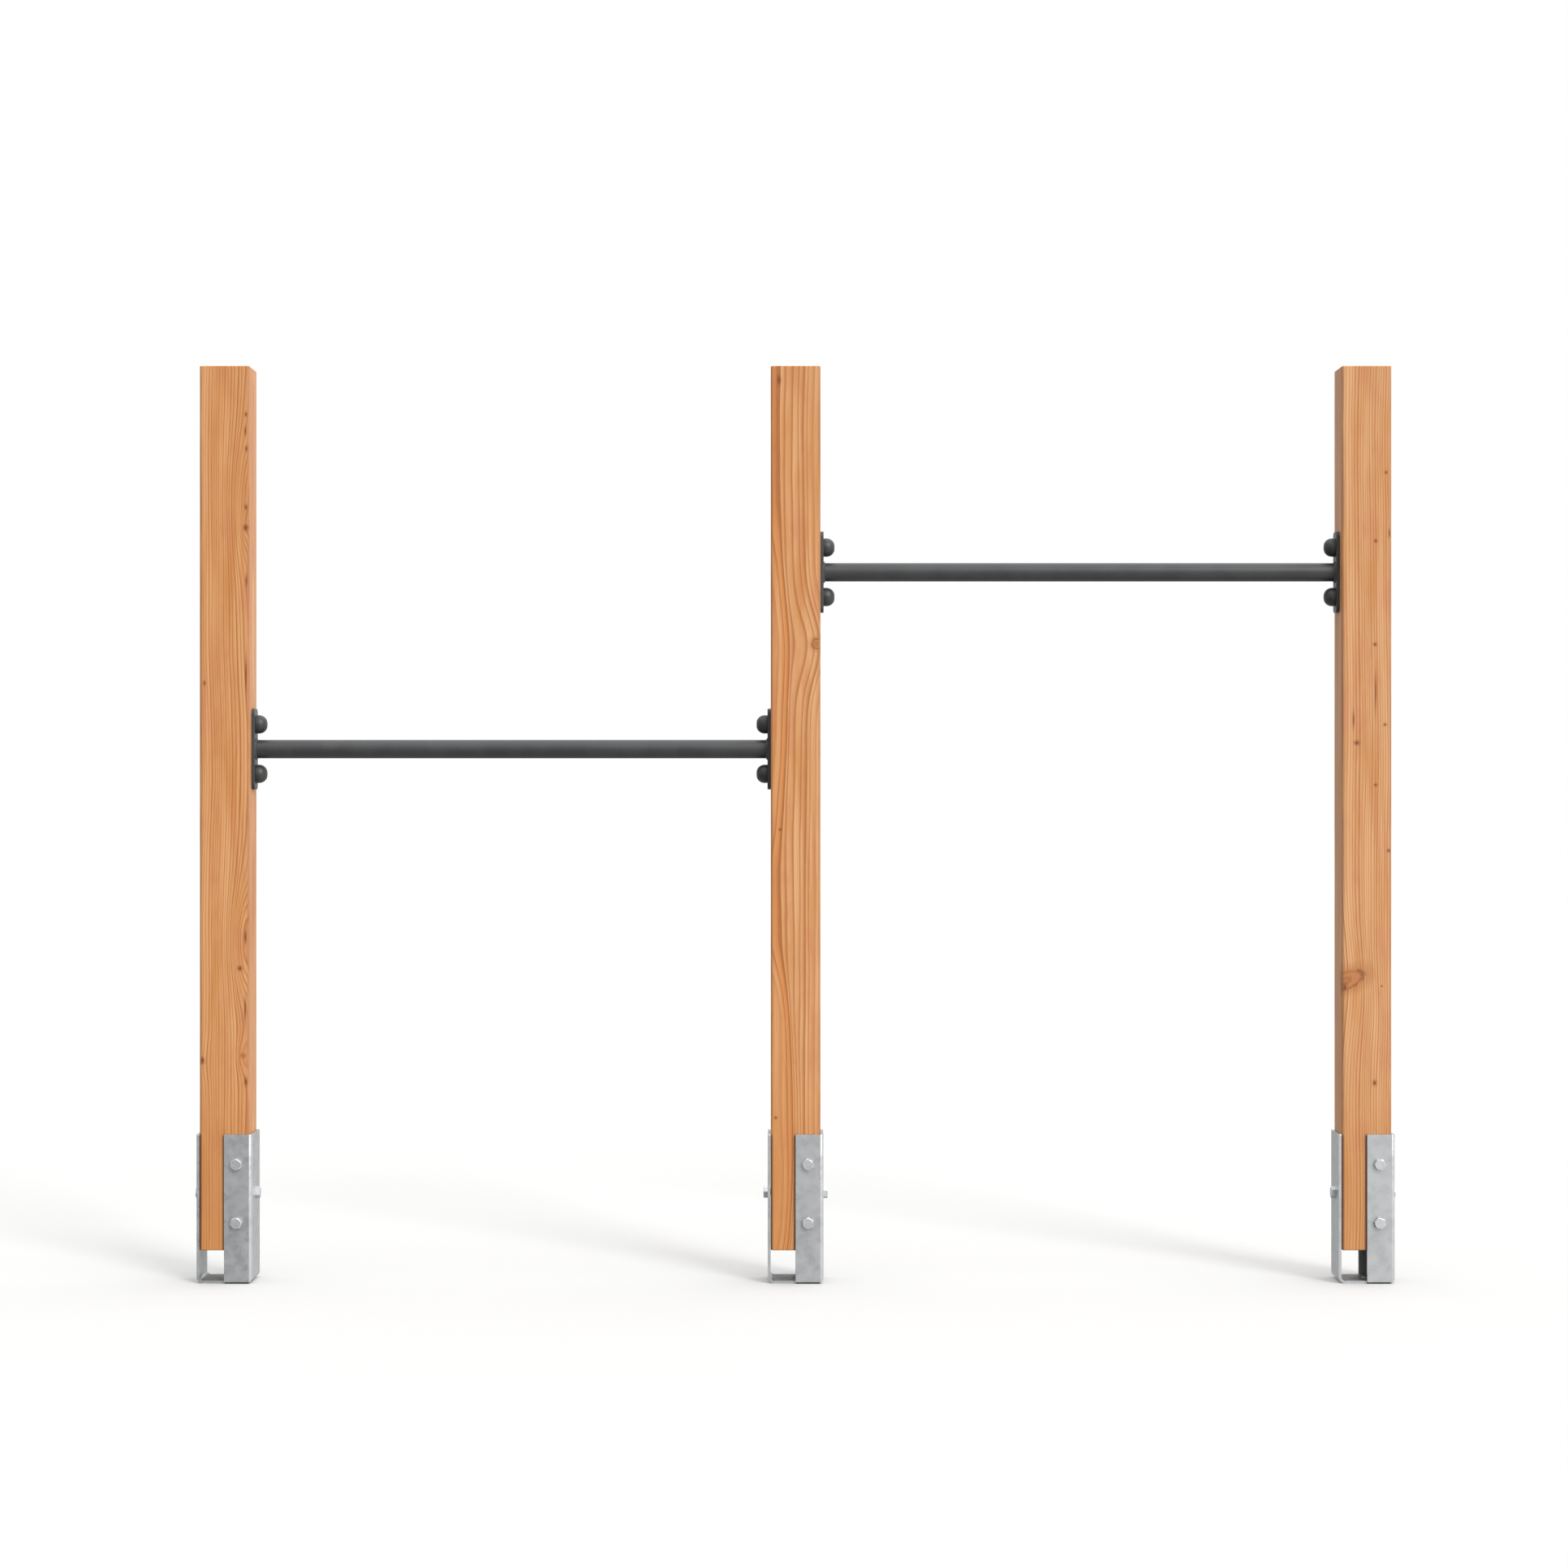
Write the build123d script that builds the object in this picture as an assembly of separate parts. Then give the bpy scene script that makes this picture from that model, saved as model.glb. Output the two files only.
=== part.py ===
from build123d import *
import os
from math import sqrt

# Double pull-up bar: three square timber posts in steel feet, with a low bar between the left and
# the middle post and a high bar between the middle and the right post. Millimetres, +Z up, +X along
# the bars towards the high one, origin on the floor in the middle of the middle post.

# Posts
POST_SIZE = 90.0
POST_LENGTH = 1600.0
POST_SPACING = 1033.0
POST_LIFT = 60.0  # from the floor to the end grain
ARRIS_RADIUS = 4.0
END_CHAMFER = 1.5

# Bars: steel tube with a flange plate welded on each end
LOW_BAR_HEIGHT = 967.0
HIGH_BAR_HEIGHT = 1289.0
TUBE_DIAMETER = 33.7
TUBE_WALL = 3.2
WELD_LEG = 3.0
PLATE_THICKNESS = 6.0
PLATE_WIDTH = 40.0
PLATE_HEIGHT = 147.0
PLATE_CORNER = 10.0
PLATE_EDGE = 0.8
PLATE_SCREW_SPACING = 90.0
PLATE_HOLE_DIAMETER = 11.0

# Two-piece screw cap: a base washer under the screw's head and a dome that snaps over both
CAP_DIAMETER = 33.6
CAP_HEIGHT = 20.0
CAP_RIM_HEIGHT = 5.0
CAP_WALL = 2.0
CAP_TIP_FLAT = 3.0
WASHER_THICKNESS = 3.0
WASHER_CLEARANCE = 0.3

# Feet: one folded sheet, a plain leg on the left and a channel that wraps the right half of the post
SHEET = 5.0
POST_CLEARANCE = 0.5
FOOT_TOP = 270.0
FOOT_DEPTH = 88.0
BASE_BEND = 12.0  # outer radii of the folds
CHANNEL_BEND = 6.0
FLANGE_EDGE = 0.0  # from the post's middle to the free edges of the channel's flanges
FLANGE_LIFT = 3.0
FOOT_CORNER = 1.5  # the sheet's cut corners at the top
FOOT_HOLE_DIAMETER = 13.0
ANCHOR_HOLE_DIAMETER = 14.0
FLANGE_SCREW_OFFSET = 22.0
FLANGE_SCREW_HEIGHTS = {"upper": 216.0, "lower": 110.0}
LEG_SCREW_HEIGHT = 160.0

# Hexagon-head coach screws
PLATE_SCREW = dict(diameter=10.0, core=7.0, across_flats=17.0, head=7.0, shank=30.0, length=70.0)
FOOT_SCREW = dict(diameter=12.0, core=9.0, across_flats=19.0, head=8.0, shank=16.0, length=40.0)
POINT_TAPER = 1.2  # a screw point's length over its core diameter

POSTS = {"left": -POST_SPACING, "middle": 0.0, "right": POST_SPACING}
BARS = {"low_bar": ("left", "middle", LOW_BAR_HEIGHT), "high_bar": ("middle", "right", HIGH_BAR_HEIGHT)}
HALF_POST = POST_SIZE / 2
FOOT_INNER = HALF_POST + POST_CLEARANCE
FOOT_OUTER = FOOT_INNER + SHEET


def profile(*points):
    """A closed outline in the XZ plane."""
    return make_face(Plane.XZ * Polyline(*points, close=True))


def screw_stem(diameter, core, shank, length, **_):
    """The screw below its head, pointing down from the origin."""
    radius, root = diameter / 2, core / 2
    point_top = -length + POINT_TAPER * core
    step = shank + radius - root
    outline = profile(
        (0, 0), (radius, 0), (radius, -shank), (root, -step), (root, point_top), (0, -length)
    )
    return revolve(outline, Axis.Z)


def coach_screw(across_flats, head, **stem):
    """A screw that stands on its head's underside, with the head's corners chamfered by 30 degrees."""
    corner_radius = across_flats / sqrt(3)
    crown_radius = 0.475 * across_flats
    drop = (corner_radius - crown_radius) / sqrt(3)
    envelope = revolve(
        profile(
            (0, 0), (corner_radius, 0), (corner_radius, head - drop), (crown_radius, head), (0, head)
        ),
        Axis.Z,
    )
    hexagon = extrude(RegularPolygon(across_flats / 2, 6, major_radius=False), head)
    return (hexagon & envelope) + screw_stem(**stem)


def face_plane(x, y, z, outward):
    """A plane on an upright face: local z points outward and local y points up."""
    if outward in ("+X", "-X"):
        sign = 1 if outward == "+X" else -1
        return Plane(origin=(x, y, z), x_dir=(0, sign, 0), z_dir=(sign, 0, 0))
    sign = 1 if outward == "+Y" else -1
    return Plane(origin=(x, y, z), x_dir=(-sign, 0, 0), z_dir=(0, sign, 0))


def foot_screw_planes(post_x):
    """Where the six screws of one foot sit on its steel, by name."""
    places = {}
    for level, height in FLANGE_SCREW_HEIGHTS.items():
        x = post_x + FLANGE_SCREW_OFFSET
        places[f"front_{level}"] = face_plane(x, -FOOT_OUTER, height, "-Y")
        places[f"back_{level}"] = face_plane(x, FOOT_OUTER, height, "+Y")
    places["left_leg"] = face_plane(post_x - FOOT_OUTER, 0, LEG_SCREW_HEIGHT, "-X")
    places["right_leg"] = face_plane(post_x + FOOT_OUTER, 0, LEG_SCREW_HEIGHT, "+X")
    return places


def bar_end_planes(bar):
    """The post faces that carry a bar's two plates, centred on the bar."""
    left_post, right_post, height = BARS[bar]
    return {
        "left": face_plane(POSTS[left_post] + HALF_POST, 0, height, "+X"),
        "right": face_plane(POSTS[right_post] - HALF_POST, 0, height, "-X"),
    }


def plate_screw_offsets():
    """Heights of a plate's screws from the bar's axis."""
    return {"upper": PLATE_SCREW_SPACING / 2, "lower": -PLATE_SCREW_SPACING / 2}


def post(name):
    """A planed post with its screws' holes."""
    x = POSTS[name]
    body = Pos(x, 0, POST_LIFT) * Box(
        POST_SIZE, POST_SIZE, POST_LENGTH, align=(Align.CENTER, Align.CENTER, Align.MIN)
    )
    body = fillet(body.edges().filter_by(Axis.Z), ARRIS_RADIUS)
    ends = body.faces().filter_by(Axis.Z).edges()
    body = chamfer(ends, END_CHAMFER)
    for place in foot_screw_planes(x).values():
        body -= place * screw_stem(**FOOT_SCREW)
    for bar, (left_post, right_post, _) in BARS.items():
        planes = bar_end_planes(bar)
        used = [end for end, owner in (("left", left_post), ("right", right_post)) if owner == name]
        for end in used:
            for offset in plate_screw_offsets().values():
                above_face = PLATE_THICKNESS + WASHER_THICKNESS
                body -= planes[end] * Pos(0, offset, above_face) * screw_stem(**PLATE_SCREW)
    return body


def tube(bar):
    """The tube between a bar's two plates."""
    left_post, right_post, height = BARS[bar]
    start = POSTS[left_post] + HALF_POST + PLATE_THICKNESS
    end = POSTS[right_post] - HALF_POST - PLATE_THICKNESS
    outer = TUBE_DIAMETER / 2
    ring = Circle(outer) - Circle(outer - TUBE_WALL)
    return extrude(Plane(origin=(start, 0, height), z_dir=(1, 0, 0)) * ring, end - start)


def flange_plate(plane):
    """A plate on a post's face, with the weld that holds the tube's end."""
    body = extrude(RectangleRounded(PLATE_WIDTH, PLATE_HEIGHT, PLATE_CORNER), PLATE_THICKNESS)
    outer_edges = body.faces().sort_by(Axis.Z)[-1].edges()
    body = fillet(outer_edges, PLATE_EDGE)
    for offset in plate_screw_offsets().values():
        hole = Cylinder(PLATE_HOLE_DIAMETER / 2, 3 * PLATE_THICKNESS)
        body -= Pos(0, offset, 0) * hole
    tube_radius = TUBE_DIAMETER / 2
    weld = revolve(
        profile(
            (tube_radius, PLATE_THICKNESS),
            (tube_radius + WELD_LEG, PLATE_THICKNESS),
            (tube_radius, PLATE_THICKNESS + WELD_LEG),
        ),
        Axis.Z,
    )
    return plane * (body + weld)


def cap_shell(radius, height, rim, tip_flat):
    """A solid cap: a short rim, an elliptical shoulder and a small flat tip."""
    shoulder = EllipticalCenterArc((0, 0), radius - tip_flat, height - rim, arc_size=90)
    outline = (
        Line((0, 0), (radius, 0))
        + Line((radius, 0), (radius, rim))
        + Pos(tip_flat, rim) * shoulder
        + Line((tip_flat, height), (0, height))
        + Line((0, height), (0, 0))
    )
    outline = make_face(Plane.XZ * outline)
    return revolve(outline, Axis.Z)


def screw_cap(plane, offset):
    """The dome, which rests on the plate around the washer."""
    radius = CAP_DIAMETER / 2
    shell = cap_shell(radius, CAP_HEIGHT, CAP_RIM_HEIGHT, CAP_TIP_FLAT)
    hollow = cap_shell(radius - CAP_WALL, CAP_HEIGHT - CAP_WALL, CAP_RIM_HEIGHT, CAP_TIP_FLAT)
    return plane * Pos(0, offset, PLATE_THICKNESS) * (shell - hollow)


def cap_washer(plane, offset):
    """The base washer, clamped between the plate and the screw's head."""
    radius = CAP_DIAMETER / 2 - CAP_WALL - WASHER_CLEARANCE
    ring = Circle(radius) - Circle(PLATE_HOLE_DIAMETER / 2)
    return plane * Pos(0, offset, PLATE_THICKNESS) * extrude(ring, WASHER_THICKNESS)


def plate_screw(plane, offset, turn):
    """A coach screw through the washer and the plate into the post."""
    head_seat = PLATE_THICKNESS + WASHER_THICKNESS
    return plane * Pos(0, offset, head_seat) * Rot(Z=turn) * coach_screw(**PLATE_SCREW)


def rounded_rect(x_min, y_min, x_max, y_max, radius, corners):
    """A rectangle with a radius at each named corner, such as ("low", "high") for low x and high y."""
    sketch = Pos((x_min + x_max) / 2, (y_min + y_max) / 2) * Rectangle(x_max - x_min, y_max - y_min)
    wanted = [
        vertex
        for vertex in sketch.vertices()
        if ("low" if vertex.X < (x_min + x_max) / 2 else "high",
            "low" if vertex.Y < (y_min + y_max) / 2 else "high") in corners
    ]
    return fillet(wanted, radius)


def foot(post_x):
    """The folded foot: a U-shaped strip under the post, with a channel on its right leg."""
    both_low = [("low", "low"), ("high", "low")]
    outside = rounded_rect(-FOOT_OUTER, 0, FOOT_OUTER, FOOT_TOP, BASE_BEND, both_low)
    inside = rounded_rect(-FOOT_INNER, SHEET, FOOT_INNER, FOOT_TOP + SHEET, BASE_BEND - SHEET, both_low)
    strip = extrude(Plane.XZ * (outside - inside), FOOT_DEPTH / 2, both=True)

    both_right = [("high", "low"), ("high", "high")]
    wrap = rounded_rect(FLANGE_EDGE, -FOOT_OUTER, FOOT_OUTER, FOOT_OUTER, CHANNEL_BEND, both_right)
    room = rounded_rect(
        FLANGE_EDGE - SHEET, -FOOT_INNER, FOOT_INNER, FOOT_INNER, CHANNEL_BEND - SHEET, both_right
    )
    channel = Pos(0, 0, FLANGE_LIFT) * extrude(wrap - room, FOOT_TOP - FLANGE_LIFT)
    heel = extrude(Plane.XZ * outside, FOOT_OUTER, both=True)
    body = strip + (channel & heel)

    top_corners = [
        edge
        for edge in body.edges()
        if abs(edge.center().Z - FOOT_TOP) < SHEET and abs(edge.length - SHEET) < 0.01
        and edge.center().X < FOOT_INNER - CHANNEL_BEND
    ]
    body = fillet(top_corners, FOOT_CORNER)

    body -= Cylinder(ANCHOR_HOLE_DIAMETER / 2, 3 * SHEET)
    for place in foot_screw_planes(0).values():
        body -= place * Cylinder(FOOT_HOLE_DIAMETER / 2, 3 * SHEET)
    return Pos(post_x, 0, 0) * body


def foot_screw(plane, turn):
    """A coach screw through the foot's steel into the post."""
    return plane * Rot(Z=turn) * coach_screw(**FOOT_SCREW)


def all_parts():
    """Every piece by its node's name."""
    parts = {}
    turn = 0  # each head ends at its own angle
    for name, x in POSTS.items():
        parts[f"{name}_post"] = post(name)
        parts[f"{name}_foot"] = foot(x)
        for place_name, place in foot_screw_planes(x).items():
            turn += 23
            parts[f"{name}_foot_{place_name}_screw"] = foot_screw(place, turn)
    for bar in BARS:
        parts[f"{bar}_tube"] = tube(bar)
        for end, plane in bar_end_planes(bar).items():
            parts[f"{bar}_{end}_plate"] = flange_plate(plane)
            for level, offset in plate_screw_offsets().items():
                turn += 23
                prefix = f"{bar}_{end}_{level}"
                parts[f"{prefix}_screw"] = plate_screw(plane, offset, turn)
                parts[f"{prefix}_cap_washer"] = cap_washer(plane, offset)
                parts[f"{prefix}_cap"] = screw_cap(plane, offset)
    return parts


os.makedirs("parts", exist_ok=True)
for node, shape in all_parts().items():
    export_step(shape, f"parts/{node}.step")
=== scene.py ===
import math
from itertools import product

import bmesh
import bpy
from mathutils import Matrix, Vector, noise


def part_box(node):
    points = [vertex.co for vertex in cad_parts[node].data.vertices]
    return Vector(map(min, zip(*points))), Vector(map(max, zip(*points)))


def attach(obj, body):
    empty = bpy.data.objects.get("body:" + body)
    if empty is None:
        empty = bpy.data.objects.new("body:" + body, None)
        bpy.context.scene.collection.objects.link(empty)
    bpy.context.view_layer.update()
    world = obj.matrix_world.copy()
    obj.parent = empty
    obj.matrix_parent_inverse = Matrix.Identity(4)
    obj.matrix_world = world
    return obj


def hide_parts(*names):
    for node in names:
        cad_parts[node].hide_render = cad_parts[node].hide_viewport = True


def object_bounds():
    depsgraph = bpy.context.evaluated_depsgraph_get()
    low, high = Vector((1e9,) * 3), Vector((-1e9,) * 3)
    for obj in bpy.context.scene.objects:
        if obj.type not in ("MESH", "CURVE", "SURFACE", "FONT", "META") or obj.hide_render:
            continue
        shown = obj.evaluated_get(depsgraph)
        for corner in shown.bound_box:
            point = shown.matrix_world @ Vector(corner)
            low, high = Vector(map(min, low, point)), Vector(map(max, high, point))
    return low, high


# The looks of the double pull-up bar: three oiled softwood posts in hot-dip galvanised feet, and two
# powder-coated steel bars whose plates are screwed to the posts under plastic caps.
# Metres in the scene, millimetres inside the materials.

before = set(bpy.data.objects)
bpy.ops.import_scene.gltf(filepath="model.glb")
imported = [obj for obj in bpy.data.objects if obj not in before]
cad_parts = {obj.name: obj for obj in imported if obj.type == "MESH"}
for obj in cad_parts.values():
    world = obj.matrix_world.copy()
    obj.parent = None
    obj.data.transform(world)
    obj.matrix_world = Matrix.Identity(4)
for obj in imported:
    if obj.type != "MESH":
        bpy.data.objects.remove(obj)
cad_low, cad_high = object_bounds()

MM = 0.001

# Camera, level and square to the front
VIEW_FROM = Vector((-0.021, -6.4, 0.9035))
LENS = 80.68
SENSOR = 36.0
FAR_CLIP = 400.0

# Light
KEY_AZIMUTH = 32.0  # degrees from the front towards the right
KEY_ELEVATION = 33.0
KEY_STRENGTH = 1.9
KEY_SOFTNESS = 19.0
SKY = 0.72
SKY_SIDE = 0.48  # added towards the bright side
SKY_BRIGHT_SIDE = Vector((1.0, -0.1, 0.1))
SKY_TOP = 1.30  # added overhead
GROUND = 0.56
GROUND_SIDE = 0.50  # added towards the right
FRONT_DIM = 0.55  # taken away towards the left of the front
FRONT_PANEL = 1.15  # added towards the right of the front
BACKDROP = 1.0
FLOOR_REACH = 60.0

# Posts
POST_NAMES = ("left", "middle", "right")
ARRIS_RADIUS = 4.0 * MM
ARRIS_STEPS = 5
FACE_STEPS = 10
END_CHAMFER = 1.5 * MM
ROW_SPACING = 12.5 * MM
PLANING_WAVE = 0.12 * MM
WAVES_ACROSS = 22.0  # how fast the planing wave changes, per metre
WAVES_ALONG = 9.0
WAVE_INWARD = 0.6  # keeps the wave inside the post's size

# Bar ends
BARS = ("low_bar", "high_bar")
ENDS = ("left", "right")
LEVELS = ("upper", "lower")
PLATE_CORNER = 10.0 * MM
PLATE_EDGE = 0.8 * MM
PLATE_SIDE_STEPS = 4
PLATE_CORNER_STEPS = 8
WELD_LEG = 3.0 * MM
WELD_RIPPLES = 46
RIPPLE_STEPS = 6
CAP_RIM = 5.0 * MM
CAP_TIP_FLAT = 3.0 * MM

# Rounding of the zinc-coated sheet's and screws' cut edges
SHEET_EDGE = 0.6 * MM
SCREW_EDGE = 0.35 * MM
SHARP = 0.0

# Zinc coatings: colour, and how wide a crystal is in millimetres
FOOT_ZINC = ((0.445, 0.455, 0.46), 9.0)
SCREW_ZINC = ((0.52, 0.53, 0.535), 3.0)
BRIGHT_ZINC = ((0.60, 0.61, 0.63), 2.0)


# ---------------------------------------------------------------- node graphs


class Graph:
    """The node tree of a material or a world, with one short call for each kind of node used here."""

    def __init__(self, owner):
        owner.use_nodes = True
        self.owner = owner
        self.tree = owner.node_tree

    def feed(self, socket, value):
        if isinstance(value, bpy.types.NodeSocket):
            self.tree.links.new(value, socket)
        elif value is not None:
            socket.default_value = value

    def node(self, kind, inputs=(), **settings):
        made = self.tree.nodes.new(kind)
        for key, value in settings.items():
            setattr(made, key, value)
        if isinstance(inputs, dict):
            for key, value in inputs.items():
                self.feed(made.inputs[key], value)
        else:
            for socket, value in zip(made.inputs, inputs):
                self.feed(socket, value)
        return made

    def math(self, operation, *values, clamp=False):
        return self.node("ShaderNodeMath", values, operation=operation, use_clamp=clamp).outputs[0]

    def vector(self, operation, *values):
        made = self.node("ShaderNodeVectorMath", values, operation=operation)
        is_number = operation in ("LENGTH", "DOT_PRODUCT")
        return made.outputs["Value" if is_number else "Vector"]

    def step(self, value, start, end, low=0.0, high=1.0):
        """A smooth step from low to high as value goes from start to end."""
        made = self.node(
            "ShaderNodeMapRange", (value, start, end, low, high), interpolation_type="SMOOTHSTEP"
        )
        return made.outputs[0]

    def noise(self, place, scale, detail=2.0, roughness=0.5, output="Fac"):
        settings = {
            "Vector": place,
            "Scale": scale,
            "Detail": detail,
            "Roughness": roughness,
        }
        return self.node("ShaderNodeTexNoise", settings).outputs[output]

    def drawn_noise(self, place, along, scale, **settings):
        """Noise drawn out along the post, the more the smaller along is."""
        return self.noise(self.vector("MULTIPLY", place, (1.0, 1.0, along)), scale, **settings)

    def axes(self, vector):
        """The vector's share along the bars, into the depth and upwards."""
        return self.node("ShaderNodeSeparateXYZ", (vector,)).outputs[:3]

    def upward(self):
        """How far the surface faces up, from -1 to 1."""
        return self.axes(self.node("ShaderNodeNewGeometry").outputs["Normal"])[2]

    def spread(self, value, amount):
        """A 0 to 1 value as one between -amount and amount."""
        return self.math("MULTIPLY", self.math("SUBTRACT", value, 0.5), 2 * amount)

    def mix(self, share, first, second, blend="MIX"):
        made = self.node("ShaderNodeMix", data_type="RGBA", blend_type=blend)
        self.feed(made.inputs[0], share)
        self.feed(made.inputs[6], colour(first))
        self.feed(made.inputs[7], colour(second))
        return made.outputs[2]

    def place(self, origin=(0, 0, 0)):
        """Where the surface is, in millimetres from origin, which is in metres."""
        spot = self.node("ShaderNodeTexCoord").outputs["Object"]
        moved = self.vector("SUBTRACT", spot, tuple(origin))
        return self.vector("MULTIPLY", moved, (1 / MM, 1 / MM, 1 / MM))

    def bump(self, height, strength, depth):
        settings = {"Strength": strength, "Distance": depth, "Height": height}
        return self.node("ShaderNodeBump", settings).outputs[0]

    def finish(self, **sockets):
        """Feeds the shader's sockets, named in lower case with underscores."""
        shader = self.tree.nodes["Principled BSDF"]
        for key, value in sockets.items():
            socket = shader.inputs[key.replace("_", " ").title().replace("Ior", "IOR")]
            self.feed(socket, colour(value))
        return self.owner


def colour(value):
    """Three numbers get an alpha, and anything else stays as it is."""
    return (*value, 1.0) if isinstance(value, tuple) and len(value) == 3 else value


def new_graph(name):
    return Graph(bpy.data.materials.new(name))


# ---------------------------------------------------------------- timber


FRONT = -45.0
BACK = 45.0
KNOT_RISE = 0.25  # how steeply a branch climbs as it leaves the heart
KNOT_DEPTH = 55.0  # how far a branch reaches into the post
KNOT_REACH = 3.2  # how far a knot bends the grain, in its radii
PIN_DEPTH = 4.0  # how deep a pin knot or a resin streak goes
GRAIN_STRETCH = 0.35  # the grain bends over a longer stretch along the post than across it


class Grain:
    """How one post was cut from its log. Lengths are in millimetres from the middle of the post's foot."""

    def __init__(self, pith, ring, wander, wobble, contrast, tint, knots, pins, swells, heartwood=0.0):
        self.pith = pith  # where the heart of the tree lies, across the post
        self.ring = ring  # the usual width of a year's growth
        self.wander = wander  # how far the heart strays along the post
        self.wobble = wobble  # how far a ring strays from round
        self.contrast = contrast  # how dark the latewood is
        self.tint = tint
        self.knots = knots
        self.pins = pins
        self.swells = swells
        self.heartwood = heartwood  # radius of the richer wood about the heart


def knot(x, z, radius, pull, y=FRONT, branch=None):
    """A branch that meets the surface at (x, y, z), and how far it pulls the rings out."""
    branch = branch or (0, y, KNOT_RISE * abs(y))
    return {"at": (x, y, z), "radius": radius, "pull": pull, "branch": Vector(branch).normalized()}


def pin(x, z, radius, length=1.0):
    """A pin knot or a resin streak on the front, which is length times as tall as it is wide."""
    return {"at": (x, FRONT, z), "size": (radius, PIN_DEPTH, radius * length)}


def swell(x, z, across, along, pull, blunt=1.0):
    """A stretch of the front where the rings bulge. It ends more abruptly the blunter it is."""
    return {"at": (x, FRONT, z), "size": (across, across, along), "pull": pull, "blunt": blunt}


def knot_field(graph, place, grain):
    """The nearest knot's distance in its radii, and how far the knots push the rings out."""
    nearest, push = 1000.0, 0.0
    for spot in grain.knots:
        branch = tuple(spot["branch"])
        offset = graph.vector("SUBTRACT", place, spot["at"])
        along = graph.vector("DOT_PRODUCT", offset, branch)
        beyond = graph.step(along, -KNOT_DEPTH - 15, -KNOT_DEPTH, 50.0, 0.0)
        away = graph.vector("SUBTRACT", offset, graph.vector("SCALE", branch, None, None, along))
        ratio = graph.math("DIVIDE", graph.vector("LENGTH", away), spot["radius"])
        nearest = graph.math("MINIMUM", graph.math("ADD", ratio, beyond), nearest)
        reach = KNOT_REACH * spot["radius"]
        flat = graph.vector("DIVIDE", away, (reach, reach, reach / GRAIN_STRETCH))
        fade = graph.math("MULTIPLY", graph.vector("DOT_PRODUCT", flat, flat), -1.0)
        pull = graph.step(along, -1.4 * KNOT_DEPTH, -0.2 * KNOT_DEPTH, 0.0, spot["pull"])
        push = graph.math("MULTIPLY_ADD", graph.math("EXPONENT", fade), pull, push)
    return nearest, push


def swell_field(graph, place, grain, push):
    for spot in grain.swells:
        flat = graph.vector("DIVIDE", graph.vector("SUBTRACT", place, spot["at"]), spot["size"])
        fade = graph.math("POWER", graph.vector("DOT_PRODUCT", flat, flat), spot["blunt"])
        fade = graph.math("EXPONENT", graph.math("MULTIPLY", fade, -1.0))
        push = graph.math("MULTIPLY_ADD", fade, spot["pull"], push)
    return push


def pin_field(graph, place, grain):
    """How dark the pin knots and resin streaks stain each spot."""
    stain = 0.0
    for spot in grain.pins:
        flat = graph.vector("DIVIDE", graph.vector("SUBTRACT", place, spot["at"]), spot["size"])
        fade = graph.math("MULTIPLY", graph.vector("DOT_PRODUCT", flat, flat), -0.5)
        stain = graph.math("MAXIMUM", graph.math("EXPONENT", fade), stain)
    return stain


EARLYWOOD = (0.59, 0.297, 0.120)
PALE_WOOD = (0.66, 0.362, 0.164)
RICH_WOOD = (0.52, 0.222, 0.062)
PINK_WOOD = (0.55, 0.232, 0.098)
HEARTWOOD = (0.56, 0.215, 0.055)
LATEWOOD = (0.34, 0.108, 0.024)
KNOTWOOD = (0.44, 0.168, 0.048)
DARK_KNOTWOOD = (0.25, 0.078, 0.024)
BARK = (0.100, 0.028, 0.010)
RESIN = (0.170, 0.040, 0.010)
# A darker tone laid along the eased arrises
ARRIS_TONE = (0.30, 0.130, 0.055)
ARRIS_START = 83.5  # across plus depth from the post's middle, where its eased arris begins
ARRIS_END = 88.0
OILED_FOOT = 420.0  # the end that stood in the oil is richer, up to about here
# The colour of the painted shade on the wood beside the foot's steel
SHADED_WOOD = (0.110, 0.040, 0.016)
STEEL_TOP = 210.0  # how far up the post its foot's steel reaches


def shaded_strip(graph, side, height):
    """How dark the painted shade is in the narrow strips of wood beside the foot's steel."""
    beside_flange = graph.step(side, -4.5, -1.0)
    beside_leg = graph.step(side, -39.5, -43.5)
    strip = graph.math("MAXIMUM", beside_flange, beside_leg)
    strength = graph.step(height, STEEL_TOP - 4.0, STEEL_TOP + 2.0, 0.72, 0.0)
    return graph.math("MULTIPLY", strip, strength)


def growth_rings(graph, place, grain, push):
    """Each spot's distance from the heart, its share of a year's growth, and that year's number."""
    upright = graph.vector("MULTIPLY", place, (0.0, 0.0, 1.0))
    strayed = graph.noise(upright, 0.0016, detail=1.0, output="Color")
    strayed = graph.vector("SUBTRACT", strayed, (0.5, 0.5, 0.5))
    strayed = graph.vector("MULTIPLY", strayed, (grain.wander, grain.wander, 0.0))
    across = graph.vector("MULTIPLY", place, (1.0, 1.0, 0.0))
    across = graph.vector("SUBTRACT", across, (*grain.pith, 0.0))
    reach = graph.vector("LENGTH", graph.vector("ADD", across, strayed))
    drawn = graph.vector("MULTIPLY", place, (1.0, 1.0, 0.10))
    reach = graph.math("ADD", reach, graph.spread(graph.noise(drawn, 0.022), grain.wobble))
    reach = graph.math("ADD", reach, graph.spread(graph.noise(drawn, 0.11, detail=1.0), 0.6))
    reach = graph.math("SUBTRACT", reach, push)
    line = graph.node("ShaderNodeCombineXYZ", (reach,)).outputs[0]
    years = graph.math("DIVIDE", reach, grain.ring)
    years = graph.math("ADD", years, graph.spread(graph.noise(line, 0.06, detail=1.0), 1.0))
    return reach, graph.math("FRACT", years), graph.math("FLOOR", years)


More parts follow.
